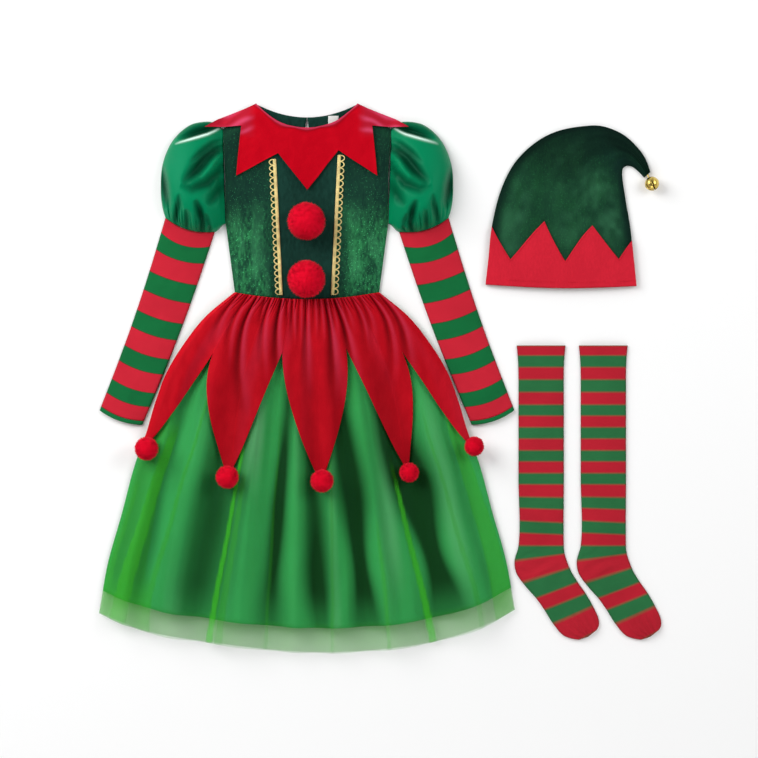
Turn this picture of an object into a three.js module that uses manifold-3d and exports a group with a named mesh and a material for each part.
// An elf costume laid out flat and face up: a dress with puff sleeves, a hat and two stockings.
// Millimetres. X runs to the viewer's right, Y up the picture, Z up from the surface it lies on.
// "Left" and "right" are as the viewer sees them.
import * as THREE from "three";
import { mergeVertices } from "three/addons/utils/BufferGeometryUtils.js";
import Module from "manifold-3d";

const manifold = await Module();
manifold.setup();

// Where each garment's own origin lies in the whole layout.
const PLACE = {
  dress: { x: -124.25, y: 137.5 },
  hat: { x: 307.15, y: 154.5 },
  stockingLeft: { x: 273.55, y: 55.1 },
  stockingRight: { x: 379.25, y: 55.1 },
};

// Cloth walls and the gaps that parted pieces keep.
const WALL = { velvet: 1.6, satin: 1.2, tulle: 1.0, knit: 1.5, felt: 1.6, label: 1.0 };
const SEAM = 0.3;
const LAY = 0.5;
const BACK_WALL = 1.4;
const BACK_LIFT = BACK_WALL + 0.4;

const COLOURS = {
  velvetGreen: 0x14352b,
  velvetRed: 0xc8001e,
  overskirtRed: 0xc4142a,
  satinGreen: 0x0e8a5a,
  knitRed: 0xd4303f,
  knitGreen: 0x0f6e3a,
  liningGreen: 0x1e7b2b,
  tulleGreen: 0x4fb53a,
  plushRed: 0xe8102a,
  gold: 0xe3cc7a,
  brass: 0xb8a04a,
  label: 0xf2f2ee,
  hatRed: 0xd22a3a,
};

const lerp = (a, b, t) => a + (b - a) * t;
const clamp = (t) => Math.min(1, Math.max(0, t));
const smooth = (t) => clamp(t) * clamp(t) * (3 - 2 * clamp(t));
const evenly = (count, from = 0, to = 1) =>
  Array.from({ length: count + 1 }, (_, i) => lerp(from, to, i / count));

// One column of a table at a place between two of its rows, straight or eased.
function tableAt(rows, key, column, at, ease = (t) => t) {
  const last = rows.length - 1;
  if (at <= rows[0][key]) return rows[0][column];
  if (at >= rows[last][key]) return rows[last][column];
  const i = rows.findIndex((row, k) => k < last && at < rows[k + 1][key]);
  const share = (at - rows[i][key]) / (rows[i + 1][key] - rows[i][key]);
  return lerp(rows[i][column], rows[i + 1][column], ease(share));
}

// A function read at even steps and joined by straight lines, so that layers share its facets.
function faceted(fn, count, from, to) {
  const held = evenly(count, from, to).map(fn);
  return (at) => {
    const place = clamp((at - from) / (to - from)) * count;
    const i = Math.min(count - 1, Math.floor(place));
    return lerp(held[i], held[i + 1], place - i);
  };
}

// A closed body from points and faces, turned so that its faces point out.
function body(points, faces) {
  let volume = 0;
  for (const [a, b, c] of faces) {
    const [p, q, r] = [points[a], points[b], points[c]];
    volume += p[0] * (q[1] * r[2] - q[2] * r[1]);
    volume += p[1] * (q[2] * r[0] - q[0] * r[2]);
    volume += p[2] * (q[0] * r[1] - q[1] * r[0]);
  }
  const order = volume > 0 ? faces : faces.map(([a, b, c]) => [a, c, b]);
  const geometry = new THREE.BufferGeometry();
  geometry.setAttribute("position", new THREE.Float32BufferAttribute(points.flat(), 3));
  geometry.setIndex(order.flat());
  return geometry;
}

const quad = (a, b, c, d) => [[a, b, c], [a, c, d]];

// A panel of cloth: place(p, q) gives x, y and the heights of its under and upper face.
function panel(across, along, place) {
  const points = [];
  for (const q of along) {
    for (const p of across) {
      const { x, y, low, high } = place(p, q);
      points.push([x, y, low], [x, y, high]);
    }
  }
  const wide = across.length;
  const tall = along.length;
  const at = (i, j, side) => 2 * (j * wide + i) + side;
  const faces = [];
  for (let j = 0; j < tall - 1; j++) {
    for (let i = 0; i < wide - 1; i++) {
      faces.push(...quad(at(i, j, 1), at(i + 1, j, 1), at(i + 1, j + 1, 1), at(i, j + 1, 1)));
      faces.push(...quad(at(i, j, 0), at(i, j + 1, 0), at(i + 1, j + 1, 0), at(i + 1, j, 0)));
    }
    faces.push(...quad(at(0, j, 0), at(0, j, 1), at(0, j + 1, 1), at(0, j + 1, 0)));
    faces.push(
      ...quad(at(wide - 1, j, 0), at(wide - 1, j + 1, 0), at(wide - 1, j + 1, 1), at(wide - 1, j, 1)),
    );
  }
  for (let i = 0; i < wide - 1; i++) {
    faces.push(...quad(at(i, 0, 0), at(i + 1, 0, 0), at(i + 1, 0, 1), at(i, 0, 1)));
    faces.push(
      ...quad(at(i, tall - 1, 0), at(i, tall - 1, 1), at(i + 1, tall - 1, 1), at(i + 1, tall - 1, 0)),
    );
  }
  return body(points, faces);
}

// A tube of cloth lying flat. At each ring, edges(t) gives the two ends of its width, and
// rise(t, s) how far the inside of its top stands over the inside of its floor.
// It is open at both ends, or closed at the last ring round a point.
function layFlatTube({ rings, top, floor, edges, rise, wall, closedAt }) {
  const round = [];
  for (let k = 0; k <= top; k++) round.push({ s: k / top, side: k === 0 || k === top ? 0 : 1 });
  for (let k = floor - 1; k > 0; k--) round.push({ s: k / floor, side: -1 });
  const points = [];
  for (const t of rings) {
    const { a, b } = edges(t);
    const width = Math.hypot(b.x - a.x, b.y - a.y);
    const inset = wall / width;
    for (const inside of [false, true]) {
      for (const { s, side } of round) {
        const across = inside ? lerp(inset, 1 - inset, s) : s;
        const inner = wall + 0.4 + rise(t, s);
        const heights = inside ? [wall, wall + 0.2, inner] : [0, wall + 0.2, inner + wall];
        points.push([lerp(a.x, b.x, across), lerp(a.y, b.y, across), heights[side + 1]]);
      }
    }
  }
  const n = round.length;
  const at = (ring, inside, k) => (2 * ring + inside) * n + (k % n);
  const faces = [];
  const last = rings.length - 1;
  for (let j = 0; j < last; j++) {
    for (let k = 0; k < n; k++) {
      faces.push(...quad(at(j, 0, k), at(j, 0, k + 1), at(j + 1, 0, k + 1), at(j + 1, 0, k)));
      faces.push(...quad(at(j, 1, k), at(j + 1, 1, k), at(j + 1, 1, k + 1), at(j, 1, k + 1)));
    }
  }
  for (let k = 0; k < n; k++) {
    faces.push(...quad(at(0, 0, k), at(0, 1, k), at(0, 1, k + 1), at(0, 0, k + 1)));
  }
  if (closedAt) {
    points.push([closedAt.outer.x, closedAt.outer.y, wall + 0.2]);
    points.push([closedAt.inner.x, closedAt.inner.y, wall + 0.2]);
    const outerPole = points.length - 2;
    const innerPole = points.length - 1;
    for (let k = 0; k < n; k++) {
      faces.push([at(last, 0, k), at(last, 0, k + 1), outerPole]);
      faces.push([at(last, 1, k + 1), at(last, 1, k), innerPole]);
    }
  } else {
    for (let k = 0; k < n; k++) {
      const ends = [at(last, 0, k), at(last, 0, k + 1), at(last, 1, k + 1), at(last, 1, k)];
      faces.push(...quad(...ends));
    }
  }
  return body(points, faces);
}

// The highest face of some geometries over a point of the plan, or the floor where there is none.
function topOver(geometries) {
  const triangles = [];
  for (const geometry of geometries) {
    const place = geometry.getAttribute("position");
    const index = geometry.getIndex();
    for (let i = 0; i < index.count; i += 3) {
      const corners = [0, 1, 2].map((k) =>
        new THREE.Vector3().fromBufferAttribute(place, index.getX(i + k)),
      );
      triangles.push(corners);
    }
  }
  return (x, y) => {
    let top = 0;
    for (const [a, b, c] of triangles) {
      if (Math.min(a.x, b.x, c.x) > x || Math.max(a.x, b.x, c.x) < x) continue;
      if (Math.min(a.y, b.y, c.y) > y || Math.max(a.y, b.y, c.y) < y) continue;
      const area = (b.x - a.x) * (c.y - a.y) - (c.x - a.x) * (b.y - a.y);
      if (Math.abs(area) < 1e-6) continue;
      const u = ((x - a.x) * (c.y - a.y) - (c.x - a.x) * (y - a.y)) / area;
      const v = ((b.x - a.x) * (y - a.y) - (x - a.x) * (b.y - a.y)) / area;
      if (u < -1e-6 || v < -1e-6 || u + v > 1 + 1e-6) continue;
      top = Math.max(top, a.z + u * (b.z - a.z) + v * (c.z - a.z));
    }
    return top;
  };
}

// The same, but the highest within a small reach, so that a piece laid over a seam bridges it.
const topNear = (topAt, reach) => (x, y) => {
  const around = evenly(7, 0, (7 / 4) * Math.PI).map((turn) =>
    topAt(x + reach * Math.cos(turn), y + reach * Math.sin(turn)),
  );
  return Math.max(topAt(x, y), ...around);
};

// Lowers a ball over a point of the plan until it all but touches what lies there.
function seatBall(ball, topAt, x, y) {
  const above = 1000;
  ball.translate(x, y, above);
  const place = ball.getAttribute("position");
  const index = ball.getIndex();
  let gap = Infinity;
  for (let i = 0; i < index.count; i += 3) {
    const corners = [0, 1, 2].map((k) => new THREE.Vector3().fromBufferAttribute(place, index.getX(i + k)));
    const middle = new THREE.Vector3();
    corners.forEach((corner) => middle.addScaledVector(corner, 1 / 3));
    for (const point of [...corners, middle]) gap = Math.min(gap, point.z - topAt(point.x, point.y));
  }
  return ball.translate(0, 0, SEAM - gap);
}

// A plush pompom: a round core with short three-sided locks rooted in some of its faces.
function pompom({ radius, detail, every, lock }) {
  const core = new THREE.IcosahedronGeometry(radius - lock, detail).getAttribute("position");
  const points = [];
  const faces = [];
  for (let i = 0; i < core.count; i += 3) {
    const corners = [0, 1, 2].map((k) => new THREE.Vector3().fromBufferAttribute(core, i + k));
    const middle = new THREE.Vector3();
    corners.forEach((corner) => middle.addScaledVector(corner, 1 / 3));
    const base = points.length;
    corners.forEach((corner) => points.push(corner.toArray()));
    const face = i / 3;
    const raised = face % every === 0 && middle.z > -0.45 * radius;
    if (!raised) {
      faces.push([base, base + 1, base + 2]);
      continue;
    }
    points.push(middle.setLength(radius).toArray());
    faces.push([base, base + 1, base + 3], [base + 1, base + 2, base + 3], [base + 2, base, base + 3]);
  }
  return body(points, faces);
}

const costume = new THREE.Group();
const FINISH = {
  velvet: { roughness: 0.75, metalness: 0 },
  satin: { roughness: 0.35, metalness: 0 },
  knit: { roughness: 0.85, metalness: 0 },
  plush: { roughness: 0.9, metalness: 0 },
  metal: { roughness: 0.3, metalness: 0.9 },
};

// Puts one named piece in its garment's group.
function add(group, name, geometry, colour, finish) {
  const mesh = new THREE.Mesh(geometry, new THREE.MeshStandardMaterial({ color: colour, ...finish }));
  mesh.name = name;
  group.add(mesh);
  return mesh;
}

const dress = new THREE.Group();
dress.position.set(PLACE.dress.x, PLACE.dress.y, 0);
costume.add(dress);
const SIDES = [
  { name: "left", sign: -1, trimTop: 233 },
  { name: "right", sign: 1, trimTop: 240 },
];

// The bodice, from the waist seam up to the neck.
const NECK = { half: 85, side: 327, front: 285, back: 305 };
const ARMHOLE = { x: 142.5, top: 285, bottom: 124 };
const WAIST = { half: 122.6, side: 8, centre: -4 };
const BODICE = { plateau: 8, apart: 0.4 };
const SIDE_EDGE = [
  { y: 8, x: 122.6 },
  { y: 124, x: 138 },
  { y: 201, x: 138 },
  { y: 285, x: 142.5 },
];
const PANEL_SEAM = [
  { y: 0, x: 46 },
  { y: 245, x: 57.5 },
];
const sideX = (y) => tableAt(SIDE_EDGE, "y", "x", y);
const panelX = (y) => tableAt(PANEL_SEAM, "y", "x", y);
const waistY = (x) => lerp(WAIST.centre, WAIST.side, (x / WAIST.half) ** 2);
const shoulderY = (x) =>
  lerp(NECK.side, ARMHOLE.top, (Math.abs(x) - NECK.half) / (ARMHOLE.x - NECK.half));
const frontNeckY = (x) => lerp(NECK.front, NECK.side, (Math.abs(x) / NECK.half) ** 2.2);
const backNeckY = (x) => lerp(NECK.back, NECK.side, (Math.abs(x) / NECK.half) ** 2);
const armholeRise = (share) => Math.sin(Math.PI * clamp(share)) ** 0.6;

// The back lies on the surface, lifted where the back of the collar lies under it.
const COLLAR_BACK = { from: 150, to: 190 };
const backLow = (y) => BACK_LIFT * smooth((y - COLLAR_BACK.from) / (COLLAR_BACK.to - COLLAR_BACK.from));

// The front stands a little off the back, and comes down to it at the side and shoulder seams.
function frontLow(x, y) {
  const open = armholeRise((y - ARMHOLE.bottom) / (ARMHOLE.top - ARMHOLE.bottom));
  const aside = clamp(Math.abs(x) / sideX(y));
  const across = open + (1 - open) * (1 - aside ** 6);
  const shoulder = smooth((shoulderY(Math.max(Math.abs(x), NECK.half)) - y + 2) / 26);
  const seat = backLow(y) + BACK_WALL + BODICE.apart;
  return seat + BODICE.plateau * across * shoulder;
}

const frontCentre = panel(evenly(6, -1, 1), evenly(8), (p, q) => {
  const bottomX = p * (panelX(0) - SEAM);
  const topX = p * (panelX(NECK.front) - SEAM);
  const y = lerp(waistY(bottomX), frontNeckY(topX), q);
  const x = p * (panelX(y) - SEAM / 2);
  const low = frontLow(x, y);
  return { x, y, low, high: low + WALL.velvet };
});
add(dress, "bodice_front_centre", frontCentre, COLOURS.velvetGreen, FINISH.velvet);

const SIDE_COLUMNS = [0, 0.16, 0.328, 0.5, 0.66, 0.8, 0.9, 0.96, 1];
const sideFronts = SIDES.map(({ name, sign }) => {
  const geometry = panel(SIDE_COLUMNS, evenly(10), (p, q) => {
    const topX = lerp(panelX(NECK.side), ARMHOLE.x, p);
    const topY = topX < NECK.half ? frontNeckY(topX) : shoulderY(topX);
    const bottomX = lerp(panelX(0), WAIST.half, p);
    const y = lerp(waistY(bottomX), topY, q);
    const x = lerp(panelX(y) + SEAM / 2, sideX(y), p);
    const low = frontLow(x, y);
    return { x: sign * x, y, low, high: low + WALL.velvet };
  });
  add(dress, "bodice_front_side_" + name, geometry, COLOURS.velvetGreen, FINISH.velvet);
  return geometry;
});

// The back is in two halves, parted by a slit under the neck.
const SLIT = { bottom: 215, wide: 5, top: 292 };
const slitX = (y) => SEAM / 2 + (SLIT.wide / 2) * armholeRise((y - SLIT.bottom) / (SLIT.top - SLIT.bottom));
const BACK_ROWS = [0, 0.37, 0.47, 0.52, 0.58, 0.7, 0.78, 0.86, 0.93, 1];
const backTop = [];
for (const { name, sign } of SIDES) {
  const geometry = panel([0, 0.2, 0.4, 0.595, 0.8, 1], BACK_ROWS, (p, q) => {
    const topX = p * ARMHOLE.x;
    const topY = topX < NECK.half ? backNeckY(topX) : shoulderY(topX);
    const y = lerp(waistY(p * WAIST.half), topY, q);
    const low = backLow(y);
    return { x: sign * lerp(slitX(y), sideX(y), p), y, low, high: low + BACK_WALL };
  });
  add(dress, "bodice_back_" + name, geometry, COLOURS.velvetGreen, FINISH.velvet);
  backTop.push(geometry);
}

// A blank label inside the back neck.
const LABEL = { left: 36, right: 54, bottom: 292, top: 307.5 };
const labelFloor = topOver(backTop);
const neckLabel = panel(evenly(2, LABEL.left, LABEL.right), evenly(2, LABEL.bottom, LABEL.top), (x, y) => {
  const low = labelFloor(x, y) + SEAM;
  return { x, y, low, high: low + WALL.label };
});
add(dress, "neck_label", neckLabel, COLOURS.label, FINISH.satin);

// The puff sleeves: hollow, gathered to the armhole and to the striped sleeve.
const PUFF_OUTLINE = [
  { t: 0, x: 142.9, y: 285, rise: 8 },
  { t: 0.08, x: 154, y: 294.5, rise: 19 },
  { t: 0.18, x: 171, y: 298, rise: 31 },
  { t: 0.3, x: 199, y: 292, rise: 39 },
  { t: 0.45, x: 228, y: 266, rise: 45 },
  { t: 0.62, x: 245.5, y: 225, rise: 46 },
  { t: 0.78, x: 248.5, y: 182, rise: 42 },
  { t: 0.88, x: 247, y: 160, rise: 31 },
  { t: 0.95, x: 244, y: 145, rise: 17 },
  { t: 1, x: 240.5, y: 134.5, rise: 3.2 },
];
const PUFF_INNER = { start: { x: 138.4, y: 124 }, end: { x: 156.5, y: 110.5 } };
const PUFF_GATHERS = { count: 9, samples: 3, band: 3.4, armhole: 2.6 };
const puffGather = (t, s) => {
  const wave = Math.cos(2 * Math.PI * PUFF_GATHERS.count * s);
  const atBand = PUFF_GATHERS.band * Math.sin(Math.PI * clamp((t - 0.7) / 0.3)) * (t > 0.7 ? 1 : 0);
  const atArmhole = PUFF_GATHERS.armhole * Math.sin(Math.PI * clamp(t / 0.3)) * smooth(s * 1.6);
  return wave * (atBand + atArmhole);
};

function puffEdges(sign) {
  return (t) => ({
    a: {
      x: sign * lerp(PUFF_INNER.start.x, PUFF_INNER.end.x, t),
      y: lerp(PUFF_INNER.start.y, PUFF_INNER.end.y, smooth(t)),
    },
    b: {
      x: sign * tableAt(PUFF_OUTLINE, "t", "x", t),
      y: tableAt(PUFF_OUTLINE, "t", "y", t),
    },
  });
}

const puffs = SIDES.map(({ name, sign }) => {
  const geometry = layFlatTube({
    rings: PUFF_OUTLINE.map((row) => row.t),
    top: PUFF_GATHERS.count * PUFF_GATHERS.samples,
    floor: 6,
    edges: puffEdges(sign),
    rise: (t, s) => {
      const dome = tableAt(PUFF_OUTLINE, "t", "rise", t) * armholeRise(s);
      return Math.max(0, dome + puffGather(t, s) * armholeRise(s));
    },
    wall: WALL.satin,
  });
  add(dress, "puff_" + name, geometry, COLOURS.satinGreen, FINISH.satin);
  return geometry;
});

// The striped sleeves and the narrow binding at each cuff.
const SLEEVE = {
  topInner: PUFF_INNER.end,
  topOuter: { x: 240.5, y: 134.5 },
  cuffInner: { x: 279.7, y: -217.4 },
  cuffOuter: { x: 352.4, y: -192.4 },
  length: 346,
  binding: 7,
  rise: 3.2,
  bow: 5,
};
const sleeveRise = (t, s) => SLEEVE.rise * armholeRise(s);
const sleeveBow = (t) => SLEEVE.bow * Math.sin(Math.PI * t);
const sleeveEdges = (sign) => (t) => ({
  a: {
    x: sign * (lerp(SLEEVE.topInner.x, SLEEVE.cuffInner.x, t) - sleeveBow(t)),
    y: lerp(SLEEVE.topInner.y, SLEEVE.cuffInner.y, t),
  },
  b: {
    x: sign * (lerp(SLEEVE.topOuter.x, SLEEVE.cuffOuter.x, t) - sleeveBow(t)),
    y: lerp(SLEEVE.topOuter.y, SLEEVE.cuffOuter.y, t),
  },
});
const CUFF_AT = 1 - SLEEVE.binding / SLEEVE.length;
const STEP_OFF = (SEAM * 1.2) / SLEEVE.length;
for (const { name, sign } of SIDES) {
  const knit = layFlatTube({
    rings: evenly(6, STEP_OFF, CUFF_AT),
    top: 10,
    floor: 4,
    edges: sleeveEdges(sign),
    rise: sleeveRise,
    wall: WALL.knit,
  });
  add(dress, "sleeve_" + name, knit, COLOURS.knitRed, FINISH.knit);
  const binding = layFlatTube({
    rings: [CUFF_AT + STEP_OFF, 1],
    top: 10,
    floor: 4,
    edges: sleeveEdges(sign),
    rise: sleeveRise,
    wall: WALL.knit + 0.3,
  });
  add(dress, "cuff_" + name, binding, COLOURS.knitGreen, FINISH.knit);
}

// The collar: its inner edge on the neckline, its outer edge in points.
const COLLAR_POINTS = [
  { inner: -88, innerY: 326, x: -150, y: 302 },
  { inner: -86, innerY: 328, x: -173, y: 288 },
  { inner: -80, innerY: 322, x: -142, y: 288 },
  { inner: -73, innerY: 315, x: -111, y: 290 },
  { inner: -62, innerY: 306, x: -114, y: 262 },
  { inner: -50, innerY: 298, x: -117, y: 234 },
  { inner: -41, innerY: 294, x: -119.5, y: 205 },
  { inner: -33, innerY: 291, x: -97, y: 217 },
  { inner: -26, innerY: 289.5, x: -72, y: 231 },
  { inner: -19, innerY: 288, x: -48.5, y: 243 },
  { inner: -13, innerY: 287, x: -32, y: 222 },
  { inner: -6, innerY: 286.5, x: -15, y: 201 },
  { inner: 0, innerY: 286.5, x: 1, y: 181 },
  { inner: 7, innerY: 286.5, x: 19, y: 203 },
  { inner: 14, innerY: 287, x: 36, y: 226 },
  { inner: 21, innerY: 288.5, x: 54, y: 248 },
  { inner: 28, innerY: 290, x: 76, y: 233 },
  { inner: 35, innerY: 292, x: 98, y: 219 },
  { inner: 43, innerY: 295, x: 119.5, y: 205 },
  { inner: 52, innerY: 299, x: 117, y: 234 },
  { inner: 63, innerY: 307, x: 114, y: 262 },
  { inner: 73, innerY: 315, x: 111, y: 290 },
  { inner: 80, innerY: 322, x: 142, y: 288 },
  { inner: 86, innerY: 328, x: 173, y: 288 },
  { inner: 88, innerY: 326, x: 150, y: 302 },
];
const underCollar = topNear(topOver([frontCentre, ...sideFronts, ...puffs]), 5);
const collarFront = panel(evenly(COLLAR_POINTS.length - 1), evenly(6), (p, q) => {
  const row = COLLAR_POINTS[Math.round(p * (COLLAR_POINTS.length - 1))];
  const x = lerp(row.inner, row.x, q);
  const y = lerp(row.innerY, row.y, q);
  const low = underCollar(x, y) + LAY + 0.6;
  return { x, y, low, high: low + WALL.velvet };
});
add(dress, "collar_front", collarFront, COLOURS.velvetRed, FINISH.velvet);

// The back of the collar lies under the back, in two halves that leave the slit free.
const COLLAR_BACK_POINTS = [
  { inner: 4, innerY: 304, x: 5, y: 250 },
  { inner: 16, innerY: 304.5, x: 28, y: 225 },
  { inner: 28, innerY: 306, x: 54, y: 200 },
  { inner: 40, innerY: 308.5, x: 70, y: 228 },
  { inner: 52, innerY: 311.5, x: 84, y: 256 },
  { inner: 62, innerY: 315, x: 104, y: 236 },
  { inner: 72, innerY: 319, x: 124, y: 216 },
  { inner: 80, innerY: 322.5, x: 128, y: 250 },
  { inner: 84, innerY: 325, x: 136, y: 284 },
];
for (const { name, sign } of SIDES) {
  const last = COLLAR_BACK_POINTS.length - 1;
  const geometry = panel(evenly(last), evenly(2), (p, q) => {
    const row = COLLAR_BACK_POINTS[Math.round(p * last)];
    const x = sign * lerp(row.inner, row.x, q);
    return { x, y: lerp(row.innerY, row.y, q), low: 0, high: BACK_WALL };
  });
  add(dress, "collar_back_" + name, geometry, COLOURS.velvetRed, FINISH.velvet);
}

// Gold braid down each panel seam: a strip with a row of open loops on its outer side.
const TRIM = {
  bottom: 3,
  full: 240,
  innerBottom: 41,
  innerTop: 52.5,
  strip: 5,
  loops: 22,
  loopOut: 7,
  hole: 4.6,
  thick: 1.2,
};
function trimShape(top) {
  const pitch = (top - TRIM.bottom) / TRIM.loops;
  const inner = (y) =>
    lerp(TRIM.innerBottom, TRIM.innerTop, (y - TRIM.bottom) / (TRIM.full - TRIM.bottom));
  const at = (y, out) => new THREE.Vector2(inner(y) + out, y);
  const outline = [at(TRIM.bottom, 0)];
  for (let k = 0; k < TRIM.loops; k++) {
    const y = TRIM.bottom + k * pitch;
    outline.push(at(y, TRIM.strip));
    outline.push(at(y + pitch * 0.2, TRIM.strip + TRIM.loopOut * 0.92));
    outline.push(at(y + pitch * 0.8, TRIM.strip + TRIM.loopOut * 0.92));
  }
  outline.push(at(top, TRIM.strip));
  for (let k = TRIM.loops; k > 0; k -= 2) outline.push(at(TRIM.bottom + k * pitch, 0));
  const shape = new THREE.Shape(outline);
  for (let k = 0; k < TRIM.loops; k++) {
    const y = TRIM.bottom + (k + 0.5) * pitch;
    const hole = [0, 1, 2, 3, 4].map((corner) => {
      const turn = (2 * Math.PI * (corner + 0.5)) / 5;
      const out = TRIM.strip + 2.6 + (TRIM.hole / 2) * Math.cos(turn);
      return at(y + (TRIM.hole / 2) * 1.25 * Math.sin(turn), out);
    });
    shape.holes.push(new THREE.Path(hole));
  }
  return shape;
}
const underTrim = topNear(topOver([frontCentre, ...sideFronts]), 1);
for (const { name, sign, trimTop } of SIDES) {
  const flat = new THREE.ExtrudeGeometry(trimShape(trimTop), { depth: TRIM.thick, bevelEnabled: false });
  const place = flat.getAttribute("position");
  for (let i = 0; i < place.count; i++) {
    const under = underTrim(place.getX(i), place.getY(i));
    place.setZ(i, place.getZ(i) + under + LAY);
  }
  add(dress, "trim_" + name, flat, COLOURS.gold, FINISH.metal).scale.x = sign;
}

// Two large pompoms stand for buttons down the centre panel.
const BUTTON = { radius: 32.5, lock: 3.2, detail: 2, every: 3, upper: 126.3, lower: 28.9 };
const underButton = topOver([frontCentre]);
for (const [name, y] of [["upper", BUTTON.upper], ["lower", BUTTON.lower]]) {
  const ball = seatBall(pompom(BUTTON), underButton, 0, y);
  add(dress, "button_pompom_" + name, ball, COLOURS.plushRed, FINISH.plush);
}

// The skirt: u runs across from -1 to 1, v down from the waist seam to the tulle's hem.
const FLARE = [
  { below: 0, half: 123 },
  { below: 40, half: 171 },
  { below: 83, half: 206 },
  { below: 135, half: 238 },
  { below: 188, half: 258 },
  { below: 235, half: 272 },
  { below: 290, half: 292 },
  { below: 375, half: 315 },
  { below: 456, half: 338 },
  { below: 540, half: 353 },
];
const HEM = [
  { u: -1, y: -537 },
  { u: -0.78, y: -567 },
  { u: -0.48, y: -586 },
  { u: 0, y: -603 },
  { u: 0.38, y: -598 },
  { u: 0.65, y: -582 },
  { u: 0.87, y: -556 },
  { u: 1, y: -531 },
];
// Folds of the skirt, each ridge and trough with its height at the hem.
const FOLDS = [
  { u: -1, height: 0 },
  { u: -0.9, height: 17 },
  { u: -0.8, height: 5 },
  { u: -0.64, height: 25 },
  { u: -0.49, height: 4 },
  { u: -0.31, height: 27 },
  { u: -0.17, height: 5 },
  { u: -0.06, height: 21 },
  { u: 0.045, height: 6 },
  { u: 0.15, height: 21 },
  { u: 0.285, height: 4 },
  { u: 0.41, height: 26 },
  { u: 0.585, height: 5 },
  { u: 0.77, height: 25 },
  { u: 0.92, height: 6 },
  { u: 1, height: 0 },
];
const SKIRT_COLUMNS = 48;
const SKIRT_ROWS = [0, 0.07, 0.17, 0.32, 0.52, 0.75, 0.93, 1];
const BACK_SKIRT_ROWS = [0, 0.1, 0.3, 0.56, 0.66, 0.93, 1];
const DROP = { from: 0.56, to: 0.66 };
const LINING_HEM = 0.93;
const foldHeight = faceted((u) => tableAt(FOLDS, "u", "height", u, smooth), SKIRT_COLUMNS, -1, 1);
const GROWTH = SKIRT_ROWS.map((v) => ({ v, share: 0.12 + 0.88 * smooth(v / 0.75) }));
const foldGrowth = (v) => tableAt(GROWTH, "v", "share", v);
const hemY = (u) => tableAt(HEM, "u", "y", u);
function skirtPlan(u, v) {
  const top = waistY(u * WAIST.half) - SEAM;
  const half = tableAt(FLARE, "below", "half", v * 540);
  return { x: u * half, y: lerp(top, hemY(u), v) };
}
const backDrop = (v) => BACK_LIFT * (1 - smooth((v - DROP.from) / (DROP.to - DROP.from)));
const tulleBackLow = (v) => backDrop(v);
const liningBackLow = (v) => tulleBackLow(v) + WALL.tulle + 0.4;
const liningFrontLow = (u, v) =>
  liningBackLow(v) + WALL.satin + LAY + foldHeight(u) * foldGrowth(v);
const tulleFrontLow = (u, v) => liningFrontLow(u, v) + WALL.satin + LAY;
const overskirtLow = (u, v) => tulleFrontLow(u, v) + WALL.tulle + 2 * LAY;

const layer = (low, wall, endV = () => 1) => (u, q) => {
  const v = q * endV(u);
  const under = low(u, v);
  return { ...skirtPlan(u, v), low: under, high: under + wall };
};
const skirtAcross = evenly(SKIRT_COLUMNS, -1, 1);
const backAcross = evenly(12, -1, 1);
const toLiningHem = (rows) => rows.filter((v) => v <= LINING_HEM);

// The front layers are parted into two at the column of the valley nearest the middle.
const PARTED_AT = skirtAcross[25];
function frontHalves(name, along, low, wall, colour) {
  return SIDES.map((side) => {
    const columns = skirtAcross.filter((u) => side.sign * (u - PARTED_AT) >= 0);
    const laid = layer(low, wall);
    const geometry = panel(columns, along, (u, v) => {
      const place = laid(u, v);
      const apart = u === PARTED_AT ? (side.sign * SEAM) / 2 : 0;
      return { ...place, x: place.x + apart };
    });
    add(dress, name + "_" + side.name, geometry, colour, FINISH.satin);
    return geometry;
  });
}
frontHalves("lining_front", toLiningHem(SKIRT_ROWS), liningFrontLow, WALL.satin, COLOURS.liningGreen);
const liningBack = panel(
  backAcross,
  toLiningHem(BACK_SKIRT_ROWS),
  layer((u, v) => liningBackLow(v), WALL.satin),
);
add(dress, "lining_back", liningBack, COLOURS.liningGreen, FINISH.satin);
const tulleFronts = frontHalves("tulle_front", SKIRT_ROWS, tulleFrontLow, WALL.tulle, COLOURS.tulleGreen);
const tulleBack = panel(backAcross, BACK_SKIRT_ROWS, layer((u, v) => tulleBackLow(v), WALL.tulle));
add(dress, "tulle_back", tulleBack, COLOURS.tulleGreen, FINISH.satin);

// The overskirt's edge: notches between the petals, and a pompom on each tip that shows.
const PETALS = [
  { u: -1, v: 0.47, tip: false },
  { u: -0.985, v: 0.485, tip: true, radius: 19.5 },
  { u: -0.745, v: 0.172, tip: false },
  { u: -0.46, v: 0.523, tip: true, radius: 19.5 },
  { u: -0.2, v: 0.17, tip: false },
  { u: 0.083, v: 0.52, tip: true, radius: 19.5 },
  { u: 0.33, v: 0.17, tip: false },
  { u: 0.6, v: 0.507, tip: true, radius: 17 },
  { u: 0.765, v: 0.172, tip: false },
  { u: 0.99, v: 0.484, tip: true, radius: 17 },
  { u: 1, v: 0.47, tip: false },
];
const PETAL_BELLY = 0.78;
function petalEnd(u) {
  const i = PETALS.findIndex((row, k) => k === PETALS.length - 2 || u < PETALS[k + 1].u);
  const [low, high] = PETALS[i].tip ? [PETALS[i + 1], PETALS[i]] : [PETALS[i], PETALS[i + 1]];
  const share = clamp((u - low.u) / (high.u - low.u));
  return lerp(low.v, high.v, share ** PETAL_BELLY);
}
const WAIST_GATHERS = { count: 24, height: 3, fade: 0.17 };
const gather = (u, v) => {
  const wave = 0.5 + 0.5 * Math.cos(Math.PI * WAIST_GATHERS.count * (u + 1));
  return WAIST_GATHERS.height * wave * Math.exp(-v / WAIST_GATHERS.fade);
};
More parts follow.
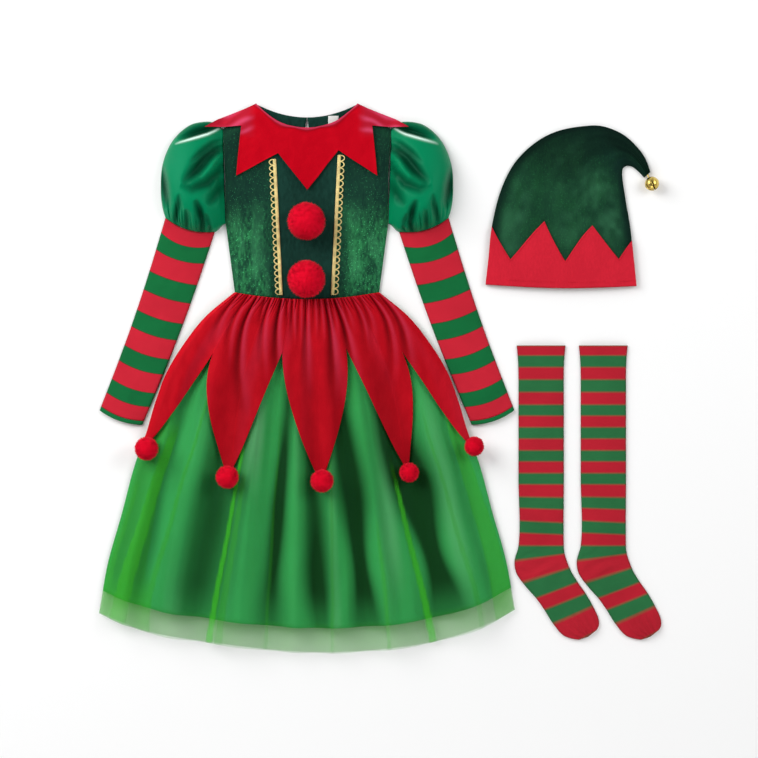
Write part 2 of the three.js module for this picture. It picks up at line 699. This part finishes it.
const withPetals = (columns) =>
  [...columns, ...PETALS.map((row) => row.u)]
    .sort((a, b) => a - b)
    .filter((u, i, all) => i === 0 || u - all[i - 1] > 1e-6);
const PETAL_ROWS = [0, 0.14, 0.34, 0.6, 0.8, 1];
const overskirtFront = panel(
  withPetals(skirtAcross),
  PETAL_ROWS,
  layer((u, v) => overskirtLow(u, v) + gather(u, v), WALL.velvet, petalEnd),
);
add(dress, "overskirt_front", overskirtFront, COLOURS.overskirtRed, FINISH.velvet);
const overskirtBack = panel(
  withPetals(evenly(12, -1, 1)),
  [0, 0.25, 0.6, 1],
  layer(() => 0, BACK_WALL, petalEnd),
);
add(dress, "overskirt_back", overskirtBack, COLOURS.overskirtRed, FINISH.velvet);

const PETAL_POMPOM = { detail: 1, every: 3, lock: 2.4 };
const underPompom = topOver([overskirtFront, ...tulleFronts]);
PETALS.filter((row) => row.tip).forEach((row, k) => {
  const { x, y } = skirtPlan(row.u, row.v);
  const ball = seatBall(pompom({ ...PETAL_POMPOM, radius: row.radius }), underPompom, x, y);
  add(dress, "petal_pompom_" + (k + 1), ball, COLOURS.plushRed, FINISH.plush);
});

// The hat: sections across it from the hem to the curled tip.
const HAT_SECTIONS = [
  { t: 0, ax: -128, ay: 4, bx: 128, by: 1.5, rise: 3.2 },
  { t: 0.1, ax: -123, ay: 50, bx: 124, by: 42, rise: 3.2 },
  { t: 0.2, ax: -117, ay: 105, bx: 120, by: 80, rise: 3.2 },
  { t: 0.3, ax: -102, ay: 164, bx: 117, by: 107, rise: 3.2 },
  { t: 0.39, ax: -79, ay: 210, bx: 112, by: 135, rise: 3.3 },
  { t: 0.48, ax: -45, ay: 244, bx: 108, by: 160, rise: 3.4 },
  { t: 0.57, ax: -6.5, ay: 264.5, bx: 105, by: 180, rise: 3.5 },
  { t: 0.66, ax: 41.5, ay: 273.5, bx: 104, by: 194, rise: 3.6 },
  { t: 0.74, ax: 73, ay: 272.5, bx: 106, by: 202, rise: 3.6 },
  { t: 0.82, ax: 107, ay: 258, bx: 113, by: 206, rise: 3.6 },
  { t: 0.88, ax: 130, ay: 237, bx: 121, by: 204.5, rise: 3.4 },
  { t: 0.94, ax: 144, ay: 217, bx: 132, by: 196, rise: 3 },
  { t: 1, ax: 152, ay: 195, bx: 141.6, by: 186, rise: 1.5 },
];
const HAT_HEM = { sag: 5 };
const hat = new THREE.Group();
hat.position.set(PLACE.hat.x, PLACE.hat.y, 0);
costume.add(hat);
const HAT_COLUMNS = 12;
const hatDome = faceted((s) => armholeRise(s), HAT_COLUMNS, 0, 1);
function hatPlan(s, t) {
  const [ax, ay, bx, by] = ["ax", "ay", "bx", "by"].map((column) =>
    tableAt(HAT_SECTIONS, "t", column, t),
  );
  const sag = HAT_HEM.sag * clamp(1 - t / 0.2) * Math.sin(Math.PI * s);
  return { x: lerp(ax, bx, s), y: lerp(ay, by, s) - sag };
}
const HAT_BACK = { from: 0.2, to: 0.3 };
const hatBackLow = (t) => BACK_LIFT * (1 - smooth((t - HAT_BACK.from) / (HAT_BACK.to - HAT_BACK.from)));
const TIP_WRINKLES = { count: 3, height: 1.2 };
function hatFrontLow(s, t) {
  const wrinkle = Math.sin(2 * Math.PI * TIP_WRINKLES.count * s) * smooth((t - 0.5) / 0.25);
  const rise = tableAt(HAT_SECTIONS, "t", "rise", t) + TIP_WRINKLES.height * wrinkle;
  return hatBackLow(t) + BACK_WALL + 0.4 + Math.max(0.2, rise) * hatDome(s);
}
const hatRows = HAT_SECTIONS.map((row) => row.t);
const crownFront = panel(evenly(HAT_COLUMNS), hatRows, (s, t) => {
  const low = hatFrontLow(s, t);
  return { ...hatPlan(s, t), low, high: low + WALL.velvet };
});
add(hat, "hat_crown_front", crownFront, COLOURS.velvetGreen, FINISH.velvet);
const crownBack = panel(evenly(6), hatRows, (s, t) => {
  const low = hatBackLow(t);
  return { ...hatPlan(s, t), low, high: low + BACK_WALL };
});
add(hat, "hat_crown_back", crownBack, COLOURS.velvetGreen, FINISH.velvet);

// The hat's band: its upper edge in a zigzag, each row a peak or a valley.
const ZIGZAG = [
  { s: 0, t: 0.195 },
  { s: 0.15, t: 0.098 },
  { s: 0.365, t: 0.232 },
  { s: 0.525, t: 0.1 },
  { s: 0.715, t: 0.246 },
  { s: 0.895, t: 0.112 },
  { s: 1, t: 0.195 },
];
const bandColumns = new Set([...evenly(HAT_COLUMNS), ...ZIGZAG.map((row) => row.s)]);
const bandAcross = [...bandColumns].sort((a, b) => a - b);
const BAND_ROWS = [0, 0.5, 1];
const zigzagT = (s) => tableAt(ZIGZAG, "s", "t", s);
const bandFront = panel(bandAcross, BAND_ROWS, (s, q) => {
  const plan = hatPlan(s, q * zigzagT(s));
  const low = hatFrontLow(s, q * zigzagT(s)) + WALL.velvet + 1.6 * LAY;
  return { ...plan, low, high: low + WALL.felt };
});
add(hat, "hat_band_front", bandFront, COLOURS.hatRed, FINISH.velvet);
const bandBack = panel(bandAcross, BAND_ROWS, (s, q) => ({
  ...hatPlan(s, q * Math.min(zigzagT(s), HAT_BACK.from)),
  low: 0,
  high: BACK_WALL,
}));
add(hat, "hat_band_back", bandBack, COLOURS.hatRed, FINISH.velvet);

// The bell: a thin ball with a crossed slot, a shank towards the tip, and a loose pellet inside.
const BELL = { radius: 12, wall: 1, slot: 2, slotLength: 19, shank: 1.4, reach: 0.9, pellet: 3 };
const BELL_AT = new THREE.Vector3(153.5, 174.5, BELL.radius);
const HAT_TIP = new THREE.Vector3(147, 190.6, 4);
function solid(geometry) {
  const bare = geometry.clone();
  bare.deleteAttribute("normal");
  bare.deleteAttribute("uv");
  const merged = mergeVertices(bare, 1e-4);
  return new manifold.Manifold(
    new manifold.Mesh({
      numProp: 3,
      vertProperties: merged.getAttribute("position").array,
      triVerts: new Uint32Array(merged.getIndex().array),
    }),
  );
}
function geometryOf(made) {
  const mesh = made.getMesh();
  const geometry = new THREE.BufferGeometry();
  geometry.setAttribute("position", new THREE.BufferAttribute(mesh.vertProperties, 3));
  geometry.setIndex(new THREE.BufferAttribute(mesh.triVerts, 1));
  return geometry;
}
const bellOuter = solid(new THREE.SphereGeometry(BELL.radius, 12, 8));
const bellInner = solid(new THREE.SphereGeometry(BELL.radius - BELL.wall, 12, 8));
const toTip = HAT_TIP.clone().sub(BELL_AT);
const shankLength = toTip.length() - BELL.radius + BELL.wall;
const shankShape = new THREE.CylinderGeometry(BELL.shank, BELL.shank, shankLength, 8);
shankShape.translate(0, toTip.length() - shankLength / 2 - BELL.reach, 0);
const slotA = new THREE.BoxGeometry(BELL.slotLength, BELL.radius, BELL.slot);
slotA.translate(0, -BELL.radius, 0);
const slotB = new THREE.BoxGeometry(BELL.slot, BELL.radius, BELL.slotLength);
slotB.translate(0, -BELL.radius, 0);
const bellShell = bellOuter
  .add(solid(shankShape))
  .subtract(bellInner)
  .subtract(solid(slotA))
  .subtract(solid(slotB));
const bell = geometryOf(bellShell);
const up = new THREE.Vector3(0, 1, 0);
bell.applyQuaternion(new THREE.Quaternion().setFromUnitVectors(up, toTip.clone().normalize()));
bell.computeBoundingBox();
bell.translate(BELL_AT.x, BELL_AT.y, -bell.boundingBox.min.z);
add(hat, "bell", bell, COLOURS.brass, FINISH.metal);
const pellet = new THREE.IcosahedronGeometry(BELL.pellet, 0);
pellet.translate(BELL_AT.x, BELL_AT.y, BELL.wall + BELL.pellet + SEAM);
add(hat, "bell_pellet", pellet, COLOURS.brass, FINISH.metal);

// The stockings: sections from the welt down the leg, round the heel and along the foot.
const STOCKING = [
  { t: 0, ax: -41.5, ay: 0, bx: 41.5, by: 0 },
  { t: 0.06, ax: -39, ay: -30, bx: 39, by: -30 },
  { t: 0.6, ax: -38.4, ay: -341, bx: 38.6, by: -341 },
  { t: 0.65, ax: -45, ay: -366, bx: 40, by: -354 },
  { t: 0.7, ax: -42, ay: -387, bx: 44, by: -367 },
  { t: 0.76, ax: -25, ay: -411, bx: 51, by: -384 },
  { t: 0.82, ax: -9, ay: -429, bx: 62, by: -402 },
  { t: 0.88, ax: 6, ay: -450, bx: 76, by: -422 },
  { t: 0.93, ax: 22, ay: -475, bx: 89, by: -445 },
  { t: 0.97, ax: 40, ay: -494, bx: 98, by: -466 },
  { t: 1, ax: 60, ay: -500, bx: 96, by: -481 },
];
const stockingEdges = (t) => ({
  a: { x: tableAt(STOCKING, "t", "ax", t), y: tableAt(STOCKING, "t", "ay", t) },
  b: { x: tableAt(STOCKING, "t", "bx", t), y: tableAt(STOCKING, "t", "by", t) },
});
const STOCKING_RISE = 3.2;
for (const { name } of SIDES) {
  const geometry = layFlatTube({
    rings: STOCKING.map((row) => row.t),
    top: 8,
    floor: 3,
    edges: stockingEdges,
    rise: (t, s) => STOCKING_RISE * armholeRise(s),
    wall: WALL.knit,
    closedAt: { outer: { x: 82, y: -497 }, inner: { x: 80.5, y: -494.5 } },
  });
  const group = new THREE.Group();
  const at = name === "left" ? PLACE.stockingLeft : PLACE.stockingRight;
  group.position.set(at.x, at.y, 0);
  costume.add(group);
  add(group, "stocking_" + name, geometry, COLOURS.knitRed, FINISH.knit);
}

export default costume;
